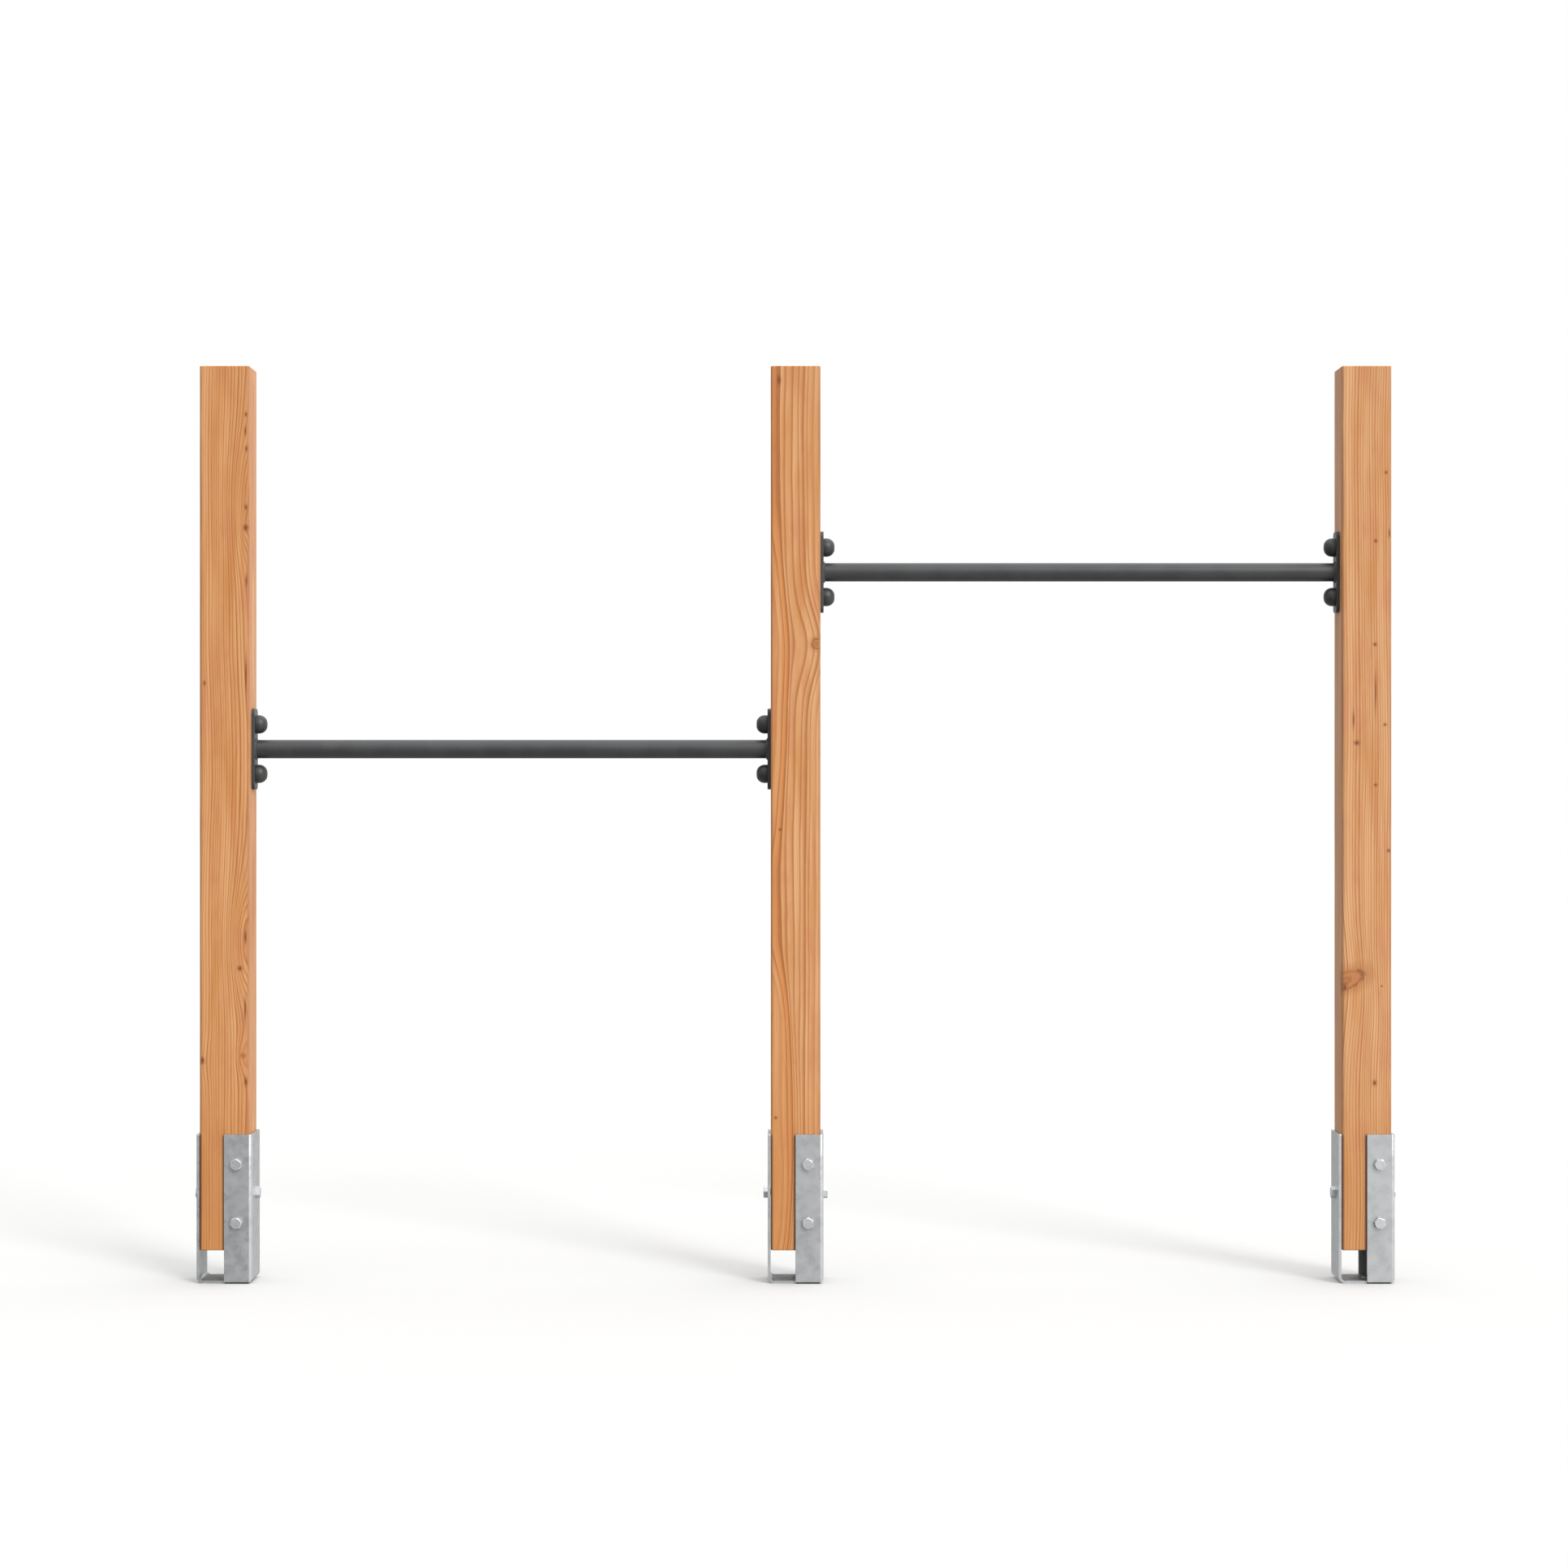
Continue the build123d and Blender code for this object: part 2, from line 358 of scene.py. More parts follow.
def heartwood(graph, tone, reach, radius):
    """The richer wood about the heart, with a dark line where it ends."""
    inside = graph.step(reach, radius - 0.8, radius, 1.0, 0.0)
    richness = graph.step(reach, radius - 14.0, radius - 2.0, 0.30, 0.95)
    tone = graph.mix(graph.math("MULTIPLY", richness, inside), tone, HEARTWOOD)
    line = graph.step(reach, radius - 3.5, radius - 1.0, 0.0, 0.75)
    return graph.mix(graph.math("MULTIPLY", line, inside), tone, LATEWOOD)


def sawn_end(graph, place, grain, tone):
    """The darker, open end grain, and the drying cracks that run towards the tree's heart."""
    across = graph.vector("SUBTRACT", place, (*grain.pith, 0.0))
    side, depth, _ = graph.axes(across)
    turn = graph.math("MULTIPLY", graph.math("ARCTAN2", depth, side), 7.0)
    reach = graph.math("MULTIPLY", graph.vector("LENGTH", across), 0.004)
    spoke = graph.node("ShaderNodeCombineXYZ", (turn, reach, 0.0)).outputs[0]
    wavering = graph.vector("ADD", spoke, graph.spread(graph.noise(place, 0.15), 0.10))
    cracks = graph.step(graph.noise(wavering, 1.3, detail=2.0), 0.675, 0.70)
    cracks = graph.math("MULTIPLY", cracks, graph.step(graph.noise(place, 0.035), 0.42, 0.56))
    pores = graph.noise(place, 1.6)
    saw = graph.noise(graph.vector("MULTIPLY", place, (1.0, 0.04, 0.04)), 0.6)
    end_tone = graph.mix(0.80, tone, (0.62, 0.50, 0.36), blend="MULTIPLY")
    end_tone = graph.mix(graph.step(pores, 0.55, 0.75, 0.0, 0.45), end_tone, (0.16, 0.07, 0.03))
    end_tone = graph.mix(graph.step(saw, 0.45, 0.75, 0.0, 0.35), end_tone, (0.50, 0.30, 0.16))
    return graph.mix(graph.math("MULTIPLY", cracks, 0.8), end_tone, (0.07, 0.03, 0.015)), cracks


def latewood_share(graph, season, year, contrast):
    """How much of a year's dark late growth a spot holds, which is more in some years."""
    luck = graph.node("ShaderNodeTexWhiteNoise", {"W": year}, noise_dimensions="1D").outputs["Value"]
    slow_start = graph.step(season, 0.0, 0.7, 0.0, 0.28)
    latewood = graph.math("MULTIPLY_ADD", graph.step(season, 0.45, 0.84), 0.72, slow_start)
    latewood = graph.math("MULTIPLY", latewood, graph.step(season, 0.90, 1.0, 1.0, 0.0))
    latewood = graph.math("MULTIPLY", latewood, graph.math("MULTIPLY_ADD", luck, 0.6, 0.4))
    return graph.math("MULTIPLY", latewood, contrast, clamp=True)


def mottled_wood(graph, place, height, blush):
    """The wood's broad patches of colour, which get richer towards its foot."""
    cloud = graph.drawn_noise(place, 0.20, 0.020, detail=3.0)
    band = graph.drawn_noise(place, 0.05, 0.045, detail=2.0)
    tone = graph.mix(graph.step(cloud, 0.42, 0.66, 0.0, 0.85), EARLYWOOD, RICH_WOOD)
    tone = graph.mix(graph.step(blush, 0.48, 0.68, 0.0, 0.80), tone, PINK_WOOD)
    tone = graph.mix(graph.step(band, 0.45, 0.68, 0.0, 0.80), tone, PALE_WOOD)
    return graph.mix(graph.step(height, 0.0, OILED_FOOT, 0.55, 0.0), tone, RICH_WOOD)


def knotty_wood(graph, place, tone, nearest, fibres):
    """The tone with the knots in it, and how much heart and how much bark of a knot each spot has."""
    heart = graph.step(nearest, 0.85, 1.05, 1.0, 0.0)
    bark_end = graph.step(nearest, 0.94, 1.15, 1.0, 0.0)
    bark = graph.math("MULTIPLY", graph.step(nearest, 0.72, 0.92), bark_end)
    knot_years = graph.math("MULTIPLY", nearest, 11.0)
    turns = graph.math("SINE", graph.math("MULTIPLY_ADD", fibres, 9.0, knot_years))
    knotwood = graph.mix(graph.step(turns, -0.6, 1.0, 0.0, 0.6), KNOTWOOD, DARK_KNOTWOOD)
    tone = graph.mix(graph.step(nearest, 1.0, 2.0, 0.40, 0.0), tone, LATEWOOD)
    tone = graph.mix(graph.math("MULTIPLY", heart, 0.88), tone, knotwood)
    patchy = graph.step(graph.noise(place, 0.12), 0.42, 0.66, 0.0, 0.52)
    return graph.mix(graph.math("MULTIPLY", bark, patchy), tone, BARK), heart, bark


def darker_arris(graph, place, blush):
    """How far the eased arrises are darkened, unevenly along them."""
    half_across, half_deep, _ = graph.axes(graph.vector("ABSOLUTE", place))
    corner = graph.math("ADD", half_across, half_deep)
    uneven = graph.step(blush, 0.3, 0.6, 0.25, 0.6)
    return graph.math("MULTIPLY", graph.step(corner, ARRIS_START, ARRIS_END), uneven)


def timber(name, foot, grain):
    """Planed and oiled softwood: growth rings about the tree's heart, bent round knots, with fibres."""
    graph = new_graph(name)
    place = graph.place(foot)
    side, _, height = graph.axes(place)
    nearest, push = knot_field(graph, place, grain)
    push = swell_field(graph, place, grain, push)
    reach, season, year = growth_rings(graph, place, grain, push)
    latewood = latewood_share(graph, season, year, grain.contrast)
    fibres = graph.drawn_noise(place, 0.02, 0.55, detail=3.0)
    hair = graph.drawn_noise(place, 0.012, 2.6, detail=2.0)
    blush = graph.drawn_noise(place, 0.35, 0.028, detail=4.0, roughness=0.6)

    tone = mottled_wood(graph, place, height, blush)
    if grain.heartwood:
        tone = heartwood(graph, tone, reach, grain.heartwood)
    tone = graph.mix(latewood, tone, LATEWOOD)
    tone = graph.mix(graph.step(fibres, 0.50, 0.80, 0.0, 0.30), tone, LATEWOOD)
    tone = graph.mix(graph.step(hair, 0.52, 0.78, 0.0, 0.32), tone, PALE_WOOD)
    tone, heart, bark = knotty_wood(graph, place, tone, nearest, fibres)
    tone = graph.mix(pin_field(graph, place, grain), tone, RESIN)
    tone = graph.mix(darker_arris(graph, place, blush), tone, ARRIS_TONE)
    # painted shade beside the foot's steel
    tone = graph.mix(shaded_strip(graph, side, height), tone, SHADED_WOOD)
    tone = graph.mix(1.0, tone, grain.tint, blend="MULTIPLY")
    end_grain = graph.step(graph.math("ABSOLUTE", graph.upward()), 0.80, 0.95)
    end_tone, cracks = sawn_end(graph, place, grain, tone)
    tone = graph.mix(end_grain, tone, end_tone)
    cracks = graph.math("MULTIPLY", cracks, end_grain)

    gloss = graph.math("MULTIPLY_ADD", fibres, 0.16, 0.46)
    gloss = graph.math("MULTIPLY_ADD", latewood, -0.06, gloss)
    gloss = graph.math("MULTIPLY_ADD", end_grain, 0.18, gloss)
    relief = graph.math("MULTIPLY_ADD", hair, 0.5, fibres)
    relief = graph.math("MULTIPLY_ADD", latewood, 0.7, relief)
    relief = graph.math("MULTIPLY_ADD", heart, 0.6, relief)
    relief = graph.math("MULTIPLY_ADD", bark, -1.2, relief)
    relief = graph.math("MULTIPLY_ADD", cracks, -6.0, relief)
    normal = graph.bump(relief, 0.30, 0.25 * MM)
    return graph.finish(base_color=tone, roughness=gloss, normal=normal, specular_ior_level=0.35)


GRAINS = {
    "left": Grain(
        pith=(60.0, 6.0), ring=3.9, wander=22.0, wobble=3.5, contrast=0.92, tint=(0.90, 0.86, 0.81),
        knots=[
            knot(39, 1308, 3.4, 5),
            knot(-44, 343, 5.5, 6, branch=(-0.60, -0.80, 0.15)),
            knot(34, 352, 4.0, 7),
            knot(-10, 900, 8.0, 8, y=BACK),
            knot(20, 1250, 3.5, 4, y=BACK),
        ],
        pins=[
            pin(39, 1512, 1.6, 2.0),
            pin(38, 1482, 1.2, 5.0),
            pin(40, 1450, 1.8, 2.0),
            pin(39, 1344, 1.8, 2.0),
            pin(39, 1307, 3.0, 1.3),
            pin(40, 1212, 1.4, 6.0),
            pin(39, 1040, 1.3, 18.0),
            pin(-36, 1026, 1.5, 2.0),
            pin(28, 510, 3.0),
            pin(38, 567, 1.6, 6.0),
            pin(37.5, 437, 1.3, 12.0),
            pin(39, 305, 2.2, 2.4),
            pin(-40, 344, 1.9, 2.0),
        ],
        swells=[
            swell(36, 556, 26, 95, 20),
            swell(42, 1350, 34, 130, 17),
        ],
    ),
    "middle": Grain(
        pith=(-54.0, 4.0), ring=7.8, wander=16.0, wobble=3.5, contrast=1.0, tint=(0.93, 0.92, 0.92),
        knots=[
            knot(38, 1097, 9.5, 3),
            knot(10, 640, 9.0, 8, y=BACK),
            knot(-15, 1330, 4.0, 5, y=BACK),
        ],
        pins=[
            pin(-30, 1574, 2.4, 2.4),
            pin(-28, 761, 1.8),
            pin(-36, 240, 1.8),
        ],
        swells=[
            swell(42, 1097, 50, 85, 20),
            swell(-40, 225, 44, 288, 16, blunt=4.0),
            swell(-46, 1010, 34, 290, 11, blunt=3.0),
        ],
        heartwood=54.0,
    ),
    "right": Grain(
        pith=(-150.0, 62.0), ring=3.9, wander=18.0, wobble=3.0, contrast=1.0, tint=(0.94, 0.96, 1.01),
        knots=[
            knot(-43, 486, 17.5, 9, branch=(-0.84, -0.42, -0.33)),
            knot(0, 1120, 7.0, 6, y=BACK),
        ],
        pins=[
            pin(-40, 476, 2.6, 1.8),
            pin(35, 1407, 2.0),
            pin(16, 1283, 2.2),
            pin(41, 1297, 1.4, 4.0),
            pin(15, 1096, 2.3),
            pin(16, 1010, 1.0, 24.0),
            pin(-24, 960, 1.2, 9.0),
            pin(-18, 918, 3.6, 0.8),
            pin(33, 951, 2.0),
            pin(16, 842, 2.0),
            pin(40, 723, 2.4),
            pin(27, 478, 1.2),
            pin(14, 303, 2.6, 1.4),
        ],
        swells=[],
    ),
}


# ---------------------------------------------------------------- metals and plastics


FOOT_SHADE = (0.060, 0.058, 0.055)
SHADED_BASE = 9.0  # height above the floor up to which a foot's upward faces are shaded
FLANGE_GAP = 3.2  # height of the gap between the floor and a foot's flanges


def painted_shade(graph, place, speck):
    """How dark a foot is painted: on its base's top, and in the gap under its flanges."""
    side, _, height = graph.axes(place)
    low = graph.step(height, SHADED_BASE, SHADED_BASE + 2.0, 1.0, 0.0)
    top = graph.math("MULTIPLY", graph.step(graph.upward(), 0.5, 0.9), low)
    top = graph.math("MULTIPLY", top, graph.step(speck, 0.35, 0.65, 0.75, 0.50))
    below = graph.step(height, FLANGE_GAP - 0.2, FLANGE_GAP, 1.0, 0.0)
    gap = graph.math("MULTIPLY", graph.step(side, -1.0, 1.0), below)
    return graph.math("MAXIMUM", top, graph.math("MULTIPLY", gap, 0.95))


def zinc(name, tone, spangle, foot=None):
    """Galvanised steel: dull grey crystals, cloudy patches and faint runs.

    A foot, given by the middle of its underside, gets painted shade near the floor.
    """
    graph = new_graph(name)
    place = graph.place(foot or (0, 0, 0))
    bent = graph.vector("ADD", place, graph.spread(graph.noise(place, 0.10), 2.5))
    cells = graph.node("ShaderNodeTexVoronoi", {"Vector": bent, "Scale": 1 / spangle})
    crystal = graph.node("ShaderNodeSeparateColor", (cells.outputs["Color"],)).outputs[0]
    cloud = graph.noise(place, 0.035, detail=4.0, roughness=0.6)
    speck = graph.noise(place, 0.55, detail=3.0, roughness=0.7)
    runs = graph.drawn_noise(place, 0.12, 0.16, detail=3.0)
    darker = tuple(0.92 * part for part in tone)
    lighter = tuple(min(1.08 * part, 1.0) for part in tone)
    shade = graph.mix(graph.step(cloud, 0.36, 0.64), darker, lighter)
    shade = graph.mix(graph.math("MULTIPLY", crystal, 0.30), shade, lighter)
    shade = graph.mix(graph.step(runs, 0.55, 0.75, 0.0, 0.15), shade, darker)
    shade = graph.mix(graph.step(speck, 0.60, 0.74, 0.0, 0.30), shade, (0.70, 0.71, 0.72))
    gloss = graph.math("MULTIPLY_ADD", crystal, 0.10, 0.22)
    gloss = graph.math("MULTIPLY_ADD", cloud, 0.10, gloss)
    if foot:
        darkness = painted_shade(graph, place, speck)
        shade = graph.mix(darkness, shade, FOOT_SHADE)
        gloss = graph.math("MULTIPLY_ADD", darkness, 0.40, gloss)
    relief = graph.math("MULTIPLY_ADD", speck, 0.06, cloud)
    normal = graph.bump(relief, 0.20, 0.30 * MM)
    return graph.finish(base_color=shade, metallic=0.70, roughness=gloss, normal=normal)


def powder_coat(name):
    """Anthracite powder coat: satin, with a fine orange peel and slight cloudiness."""
    graph = new_graph(name)
    place = graph.place()
    peel = graph.noise(place, 0.75, detail=1.0)
    cloud = graph.noise(place, 0.02, detail=3.0)
    tone = graph.mix(graph.step(cloud, 0.35, 0.65), (0.026, 0.027, 0.029), (0.034, 0.035, 0.037))
    gloss = graph.math("MULTIPLY_ADD", cloud, 0.12, 0.36)
    normal = graph.bump(peel, 0.22, 0.12 * MM)
    return graph.finish(base_color=tone, roughness=gloss, normal=normal, specular_ior_level=0.5)


def cap_plastic(name):
    """Moulded black plastic with a fine spark-eroded grain."""
    graph = new_graph(name)
    place = graph.place()
    grit = graph.noise(place, 3.2)
    cloud = graph.noise(place, 0.09)
    tone = graph.mix(cloud, (0.018, 0.0185, 0.018), (0.030, 0.031, 0.030))
    gloss = graph.math("MULTIPLY_ADD", grit, 0.18, 0.36)
    normal = graph.bump(grit, 0.20, 0.06 * MM)
    return graph.finish(base_color=tone, roughness=gloss, normal=normal, specular_ior_level=0.5)


def pale_floor(name):
    graph = new_graph(name)
    return graph.finish(base_color=(0.545, 0.545, 0.54), roughness=0.9, specular_ior_level=0.1)


# ---------------------------------------------------------------- meshes


def add_piece(name, mesh, body_nodes, material):
    """A shown piece that stands for CAD nodes and rides on the one body."""
    piece = bpy.data.objects.new(name, mesh)
    bpy.context.scene.collection.objects.link(piece)
    piece.data.materials.clear()
    piece.data.materials.append(material)
    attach(piece, "root")
    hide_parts(*body_nodes)
    return piece


def skin_rings(mesh_builder, rings, close_around=False):
    """Joins rings of equally many points with quads, then caps the first and the last or joins them."""
    loops = [[mesh_builder.verts.new(point) for point in ring] for ring in rings]
    pairs = list(zip(loops, loops[1:]))
    if close_around:
        pairs.append((loops[-1], loops[0]))
    for lower, upper in pairs:
        count = len(lower)
        for i in range(count):
            j = (i + 1) % count
            mesh_builder.faces.new((lower[i], lower[j], upper[j], upper[i]))
    if not close_around:
        mesh_builder.faces.new(list(reversed(loops[0])))
        mesh_builder.faces.new(loops[-1])


def finished_mesh(name, mesh_builder, smooth_angle=35.0):
    """The built mesh with its normals outward, smooth except at sharp edges."""
    bmesh.ops.recalc_face_normals(mesh_builder, faces=mesh_builder.faces)
    mesh = bpy.data.meshes.new(name)
    mesh_builder.to_mesh(mesh)
    mesh_builder.free()
    mesh.shade_smooth()
    mesh.set_sharp_from_angle(angle=math.radians(smooth_angle))
    return mesh


def rounded_rect(half_width, half_height, radius, side_steps, corner_steps):
    """An outline with round corners, as (a, b, outward a, outward b), counter-clockwise."""
    points = []
    corners = [(1, -1, -90), (1, 1, 0), (-1, 1, 90), (-1, -1, 180)]
    for sign_a, sign_b, start in corners:
        centre_a = sign_a * (half_width - radius)
        centre_b = sign_b * (half_height - radius)
        for step in range(corner_steps + 1):
            angle = math.radians(start + 90 * step / corner_steps)
            out_a, out_b = math.cos(angle), math.sin(angle)
            points.append((centre_a + radius * out_a, centre_b + radius * out_b, out_a, out_b))
    filled = []
    for index, point in enumerate(points):
        filled.append(point)
        following = points[(index + 1) % len(points)]
        if index % (corner_steps + 1) == corner_steps:
            for step in range(1, side_steps):
                share = step / side_steps
                filled.append(tuple(p + share * (q - p) for p, q in zip(point, following)))
    return filled


def post_mesh(name, low, high, seed):
    """A planed post with eased arrises, chamfered ends and a slight waviness from the planer."""
    centre = (low + high) / 2
    half_x, half_y = (high.x - low.x) / 2, (high.y - low.y) / 2
    outline = rounded_rect(half_x, half_y, ARRIS_RADIUS, FACE_STEPS, ARRIS_STEPS)
    rows = max(2, round((high.z - low.z - 2 * END_CHAMFER) / ROW_SPACING))
    span = high.z - low.z - 2 * END_CHAMFER
    levels = [(low.z, END_CHAMFER)]
    levels += [(low.z + END_CHAMFER + span * row / rows, 0.0) for row in range(rows + 1)]
    levels += [(high.z, END_CHAMFER)]
    rings = []
    for z, inset in levels:
        ring = []
        for a, b, out_a, out_b in outline:
            spot = Vector((a * WAVES_ACROSS, b * WAVES_ACROSS + seed, z * WAVES_ALONG))
            shift = PLANING_WAVE * (noise.noise(spot) - WAVE_INWARD) - inset
            ring.append((centre.x + a + out_a * shift, centre.y + b + out_b * shift, z))
        rings.append(ring)
    builder = bmesh.new()
    skin_rings(builder, rings)
    return finished_mesh(name, builder, smooth_angle=40.0)


def plate_mesh(name, low, high, sign, tube_radius):
    """A flange plate with rounded edges, and the rippled weld round the tube."""
    centre = (low + high) / 2
    thickness = high.x - low.x - WELD_LEG
    back = low.x if sign > 0 else high.x
    half_y, half_z = (high.y - low.y) / 2, (high.z - low.z) / 2
    outline = rounded_rect(half_y, half_z, PLATE_CORNER, PLATE_SIDE_STEPS, PLATE_CORNER_STEPS)
    edge_steps = 4
    levels = [(0.0, 0.3 * PLATE_EDGE), (0.3 * PLATE_EDGE, 0.0)]
    for step in range(edge_steps + 1):
        angle = math.radians(90 * step / edge_steps)
        depth = thickness - PLATE_EDGE * (1 - math.sin(angle))
        levels.append((depth, PLATE_EDGE * (1 - math.cos(angle))))
    rings = []
    for depth, inset in levels:
        x = back + sign * depth
        ring = [(x, centre.y + a - oa * inset, centre.z + b - ob * inset) for a, b, oa, ob in outline]
        rings.append(ring)
    builder = bmesh.new()
    skin_rings(builder, rings)
    skin_rings(builder, weld_rings(centre, back + sign * thickness, sign, tube_radius), close_around=True)
    return finished_mesh(name, builder)


def weld_rings(centre, face_x, sign, tube_radius):
    """Cross-sections of a fillet weld, round the tube: one buried point and a slightly full face."""
    turn_steps = WELD_RIPPLES * RIPPLE_STEPS
    section_steps = 7
    fullness = 1.5
    buried = 0.4 * MM
    rings = []
    for turn in range(turn_steps):
        around = 2 * math.pi * turn / turn_steps
        ring = [(-buried, -buried)]
        for step in range(section_steps + 1):
            share = step / section_steps
            angle = share * math.pi / 2
            chevron = 0.9 * (2 * share - 1) ** 2
            ripple = abs(math.sin(WELD_RIPPLES * around / 2 + chevron))
            drift = noise.noise(Vector((3 * math.cos(around), 3 * math.sin(around), centre.x * 7)))
            leg = WELD_LEG * (0.90 + 0.13 * ripple + 0.06 * drift)
            out = leg * math.cos(angle) ** fullness
            up = leg * math.sin(angle) ** fullness
            ring.append((max(out, -buried), max(up, -buried)))
        points = []
        for out, up in ring:
            radius = tube_radius + out
            y = centre.y + radius * math.cos(around)
            z = centre.z + radius * math.sin(around)
            points.append((face_x + sign * up, y, z))
        rings.append(points)
    return rings


def cap_mesh(name, low, high, sign):
    """A turned cap: a rim with a snap line, an elliptical shoulder and a gate mark on its tip."""
    centre = (low + high) / 2
    base = low.x if sign > 0 else high.x
    radius, height = (high.y - low.y) / 2, high.x - low.x
    edge = 0.6 * MM
    groove = 0.35 * MM
    gate_radius, gate_depth = 1.1 * MM, 0.25 * MM
    profile = [(0.0, 0.0), (radius - edge, 0.0), (radius, edge)]
    profile += [(radius, 1.9 * MM), (radius - groove, 2.2 * MM), (radius - groove, 2.5 * MM)]
    profile += [(radius, 2.8 * MM), (radius, CAP_RIM)]
    shoulder_steps = 20
    for step in range(1, shoulder_steps + 1):
        angle = math.radians(90 * step / shoulder_steps)
        out = CAP_TIP_FLAT + (radius - CAP_TIP_FLAT) * math.cos(angle)
        profile.append((out, CAP_RIM + (height - CAP_RIM) * math.sin(angle)))
    profile += [(gate_radius, height), (0.8 * gate_radius, height - gate_depth), (0.0, height - gate_depth)]
    turn_steps = 72
    builder = bmesh.new()
    rings = []
    for out, up in profile[1:-1]:
        ring = []
        for turn in range(turn_steps):
            around = 2 * math.pi * turn / turn_steps
            y = centre.y + out * math.cos(around)
            z = centre.z + out * math.sin(around)
            ring.append((base + sign * up, y, z))
        rings.append(ring)
    skin_rings(builder, rings)
    return finished_mesh(name, builder, smooth_angle=30.0)


# ---------------------------------------------------------------- the object


def middle_below(node):
    """The middle of a node's underside."""
    low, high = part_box(node)
    return (low.x + high.x) / 2, (low.y + high.y) / 2, low.z


def foot_finish(name):
    return zinc(f"{name}_foot_zinc", *FOOT_ZINC, foot=middle_below(f"{name}_foot"))


def build_posts():
    for seed, name in enumerate(POST_NAMES):
        node = f"{name}_post"
        material = timber(f"timber_{name}", middle_below(node), GRAINS[name])
        mesh = post_mesh(f"{name}_timber", *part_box(node), 13.0 * seed)
        add_piece(f"{name}_timber", mesh, [node], material)


def build_bar_ends(coat, plastic):
    for bar, end in product(BARS, ENDS):
        sign = 1 if end == "left" else -1
        tube_low, tube_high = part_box(f"{bar}_tube")
        tube_radius = (tube_high.z - tube_low.z) / 2
        node = f"{bar}_{end}_plate"
        mesh = plate_mesh(f"{bar}_{end}_flange", *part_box(node), sign, tube_radius)
        add_piece(f"{bar}_{end}_flange", mesh, [node], coat)
        for level in LEVELS:
            node = f"{bar}_{end}_{level}_cap"
            mesh = cap_mesh(f"{node}_dome", *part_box(node), sign)
            add_piece(f"{node}_dome", mesh, [node], plastic)


def soften_edges(piece, width):
    """Rounds a CAD node's sharp edges with modifiers, which leave its own mesh as it is."""
    weld = piece.modifiers.new("weld", "WELD")
    weld.merge_threshold = 0.01 * MM
    flatten = piece.modifiers.new("flatten", "DECIMATE")
    flatten.decimate_type = "DISSOLVE"
    flatten.angle_limit = math.radians(0.5)
    bevel = piece.modifiers.new("bevel", "BEVEL")
    bevel.width = width
    bevel.segments = 2
    bevel.limit_method = "ANGLE"
    bevel.angle_limit = math.radians(25)
    bevel.harden_normals = True


def dress_cad_nodes(finishes):
    """Gives each carried-over CAD node the finish of the first ending that its name has."""
    for node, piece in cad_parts.items():
        for ending, material, edge in finishes:
            if node.endswith(ending):
                piece.data.materials.clear()
                piece.data.materials.append(material)
                if edge:
                    soften_edges(piece, edge)
                break


def build_stage():
    """A wide pale floor, which takes shadows but neither blocks light nor throws it back."""
    bpy.ops.mesh.primitive_plane_add(size=2 * FLOOR_REACH, location=(0, 0, cad_low.z))
    floor = bpy.context.object
    floor.name = "floor"
    floor.data.materials.append(pale_floor("floor"))
    floor.visible_diffuse = False
    floor.visible_glossy = False
    floor.visible_shadow = False


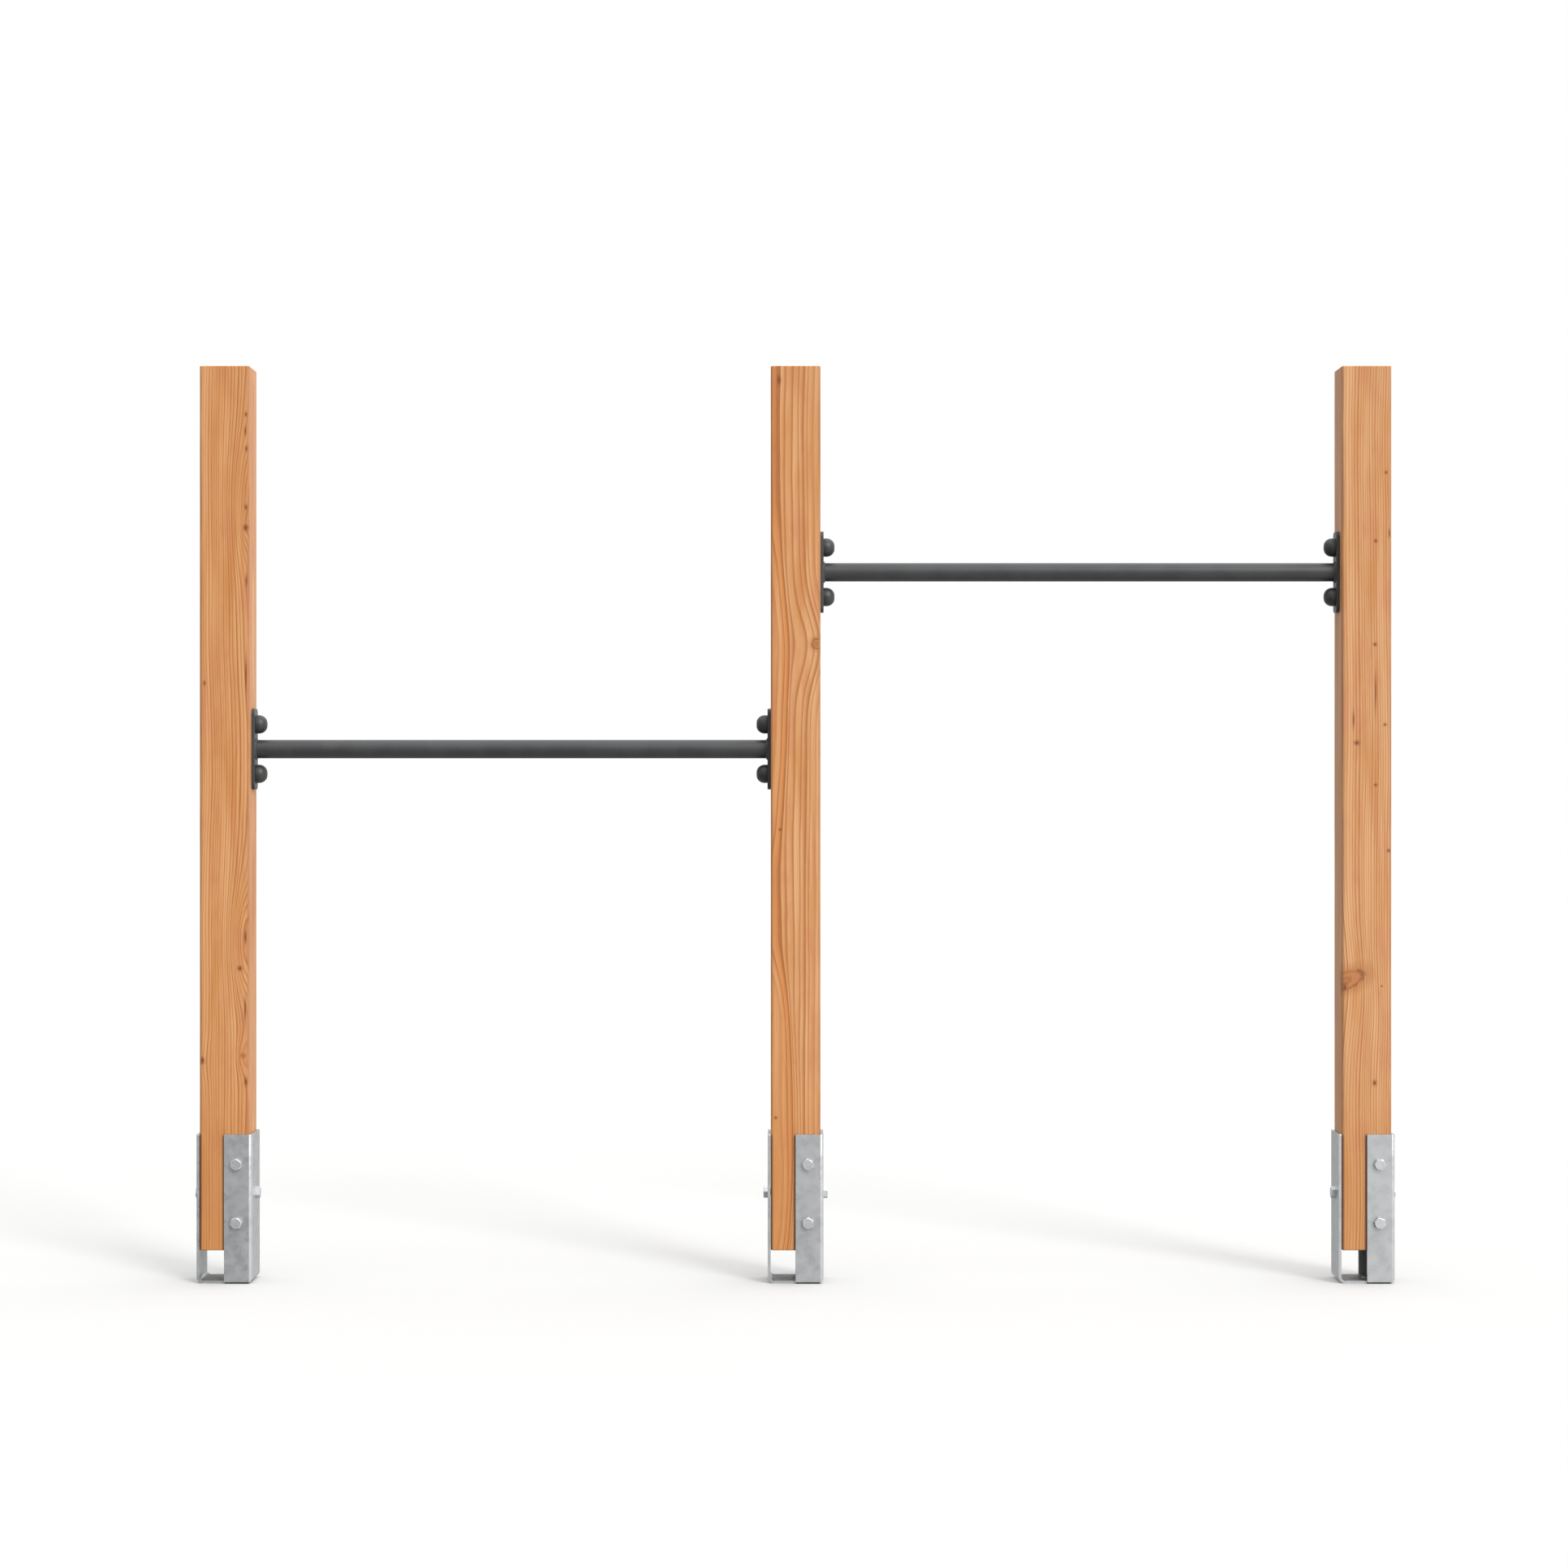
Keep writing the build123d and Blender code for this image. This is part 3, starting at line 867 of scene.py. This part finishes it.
def build_light():
    """A soft key from the right and front, and a studio sky that is brighter on that side."""
    sun = bpy.data.lights.new("key", "SUN")
    sun.energy = KEY_STRENGTH
    sun.angle = math.radians(KEY_SOFTNESS)
    key = bpy.data.objects.new("key", sun)
    bpy.context.scene.collection.objects.link(key)
    azimuth, elevation = math.radians(KEY_AZIMUTH), math.radians(KEY_ELEVATION)
    toward = Vector(
        (
            math.sin(azimuth) * math.cos(elevation),
            -math.cos(azimuth) * math.cos(elevation),
            math.sin(elevation),
        )
    )
    key.rotation_mode = "QUATERNION"
    key.rotation_quaternion = toward.to_track_quat("Z", "Y")

    world = bpy.data.worlds.new("studio")
    bpy.context.scene.world = world
    graph = Graph(world)
    graph.tree.nodes.clear()
    direction = graph.node("ShaderNodeTexCoord").outputs["Generated"]
    side, depth, height = graph.axes(direction)
    rightward = graph.vector("DOT_PRODUCT", direction, tuple(SKY_BRIGHT_SIDE.normalized()))
    sky = graph.math("MULTIPLY_ADD", graph.step(rightward, -0.2, 0.4), SKY_SIDE, SKY)
    sky = graph.math("MULTIPLY_ADD", graph.step(height, 0.50, 0.95), SKY_TOP, sky)
    frontward = graph.step(depth, -0.8, 0.0, 1.0, 0.0)
    panel = graph.step(side, -0.35, 0.35, -FRONT_DIM, FRONT_PANEL - FRONT_DIM)
    ground = graph.math("MULTIPLY_ADD", graph.step(side, 0.2, 0.9), GROUND_SIDE, GROUND)
    ground = graph.math("MULTIPLY_ADD", frontward, panel, ground)
    share = graph.step(height, -0.06, 0.06)
    level = graph.math("MULTIPLY_ADD", graph.math("SUBTRACT", sky, ground), share, ground)
    white = (1.0, 1.0, 1.0, 1.0)
    ambient = graph.node("ShaderNodeBackground", {"Color": white, "Strength": level}).outputs[0]
    backdrop = graph.node("ShaderNodeBackground", {"Color": white, "Strength": BACKDROP}).outputs[0]
    seen = graph.node("ShaderNodeLightPath").outputs["Is Camera Ray"]
    choice = graph.node("ShaderNodeMixShader", (seen, ambient, backdrop)).outputs[0]
    graph.node("ShaderNodeOutputWorld", (choice,))


def build_camera():
    data = bpy.data.cameras.new("camera")
    data.sensor_width = SENSOR
    data.lens = LENS
    data.clip_end = FAR_CLIP
    camera = bpy.data.objects.new("camera", data)
    bpy.context.scene.collection.objects.link(camera)
    camera.location = VIEW_FROM
    camera.rotation_euler = (math.radians(90), 0, 0)
    bpy.context.scene.camera = camera


coat = powder_coat("anthracite_coat")
plastic = cap_plastic("black_plastic")
screw_zinc = zinc("screw_zinc", *SCREW_ZINC)
bright_zinc = zinc("plated_zinc", *BRIGHT_ZINC)

dress_cad_nodes(
    [
        ("_cap_washer", plastic, SHARP),
        ("_tube", coat, SHARP),
        *[(f"{name}_foot", foot_finish(name), SHEET_EDGE) for name in POST_NAMES],
        ("_leg_screw", bright_zinc, SCREW_EDGE),
        *[(f"bar_{end}_{level}_screw", bright_zinc, SHARP) for end, level in product(ENDS, LEVELS)],
        ("_screw", screw_zinc, SCREW_EDGE),
    ]
)
build_posts()
build_bar_ends(coat, plastic)
build_stage()
build_light()
build_camera()
bpy.context.scene.view_settings.view_transform = "Standard"
